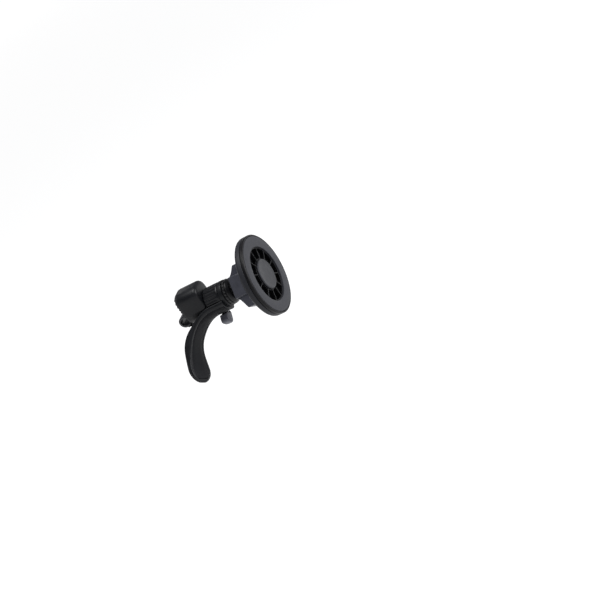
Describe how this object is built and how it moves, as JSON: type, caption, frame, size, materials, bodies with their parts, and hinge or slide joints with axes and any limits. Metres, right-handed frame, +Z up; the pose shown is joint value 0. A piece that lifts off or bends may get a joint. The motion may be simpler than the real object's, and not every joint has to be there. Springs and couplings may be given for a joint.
{
  "type": "magnetic car phone mount",
  "caption": "Round magnetic phone holder on a ball joint, clipped to a car air vent by a twist-driven hook and braced by a curved leg.",
  "frame": {"origin": "where the clip's axis meets the rear face of the jaw pad, against the vent vane", "axes": "+X to the driver's right, +Y towards the dash, +Z up; the phone's face looks along -Y"},
  "size_m": [0.0664, 0.0745, 0.0674],
  "materials": {
    "face_silicone": "satin",
    "bezel_plastic": "semi-gloss",
    "shell_plastic": "fine texture",
    "carrier_plastic": "matte",
    "magnet_nickel": "bright",
    "yoke_steel": "zinc plated",
    "vane_plastic": "matte",
    "badge_metal": "satin",
    "screw_steel": "plated",
    "boss_plastic": "satin",
    "ball_coated": "black coated",
    "liner_nylon": "natural",
    "nut_plastic": "satin",
    "spindle_plastic": "satin",
    "body_plastic": "satin",
    "pad_rubber": "matte",
    "knob_plastic": "satin",
    "core_brass": "machined",
    "rod_steel": "turned",
    "hook_steel": "powder coated",
    "leg_plastic": "satin",
    "lever_plastic": "satin"
  },
  "bodies": {
    "clip": {"spindle": "spindle_plastic", "body_shell": "body_plastic", "body_plate": "spindle_plastic", "jaw_pad": "pad_rubber", "body_screws": "screw_steel"},
    "nut": {"ball_nut": "nut_plastic"},
    "liner": {"cup_liner": "liner_nylon"},
    "boss": {"square_boss": "boss_plastic", "ball_stud": "ball_coated", "spin_washer": "yoke_steel", "spin_screw": "screw_steel"},
    "head": {"face_pad": "face_silicone", "bezel": "bezel_plastic", "magnet_carrier": "carrier_plastic", "magnets": "magnet_nickel", "yoke_ring": "yoke_steel", "vane_ring": "vane_plastic", "hub_badge": "badge_metal", "back_shell": "shell_plastic", "carrier_screws": "screw_steel"},
    "knob": {"knob": "knob_plastic", "knob_core": "core_brass"},
    "hook": {"hook_rod": "rod_steel", "cross_pin": "screw_steel", "hook": "hook_steel", "hook_sleeve": "pad_rubber"},
    "leg": {"leg": "leg_plastic", "leg_grip": "pad_rubber", "foot_pad": "pad_rubber", "lever_pin": "screw_steel"},
    "lever": {"lock_lever": "lever_plastic"}
  },
  "joints": [
    {"name": "hook_slide", "type": "slide", "parent": "clip", "child": "hook", "axis": [0, 1, 0], "range_m": [0, 0.0055]},
    {"name": "knob_turn", "type": "hinge", "parent": "clip", "child": "knob", "pos_m": [0, -0.025, 0], "axis": [0, 1, 0], "range_deg": [0, 490]},
    {"name": "nut_turn", "type": "hinge", "parent": "clip", "child": "nut", "pos_m": [0, -0.036, 0], "axis": [0, 1, 0], "range_deg": [0, 150]},
    {"name": "ball_pan", "type": "hinge", "parent": "clip", "child": "liner", "pos_m": [0, -0.036, 0], "axis": [0, 0, 1], "range_deg": [-12, 12]},
    {"name": "ball_tilt", "type": "hinge", "parent": "liner", "child": "boss", "pos_m": [0, -0.036, 0], "axis": [1, 0, 0], "range_deg": [-12, 12]},
    {"name": "head_spin", "type": "hinge", "parent": "boss", "child": "head", "pos_m": [0, -0.054, 0], "axis": [0, 1, 0], "continuous": true},
    {"name": "leg_swivel", "type": "hinge", "parent": "clip", "child": "leg", "pos_m": [0, -0.0327, 0], "axis": [0, 1, 0], "range_deg": [-90, 8]},
    {"name": "lever_flip", "type": "hinge", "parent": "leg", "child": "lever", "pos_m": [0.00023, -0.0234, -0.01301], "axis": [0, 1, 0], "range_deg": [-60, 0]}
  ],
  "couplings": [
    {"joint": "hook_slide", "follows": "knob_turn", "m_per_rad": 0.00063662}
  ]
}
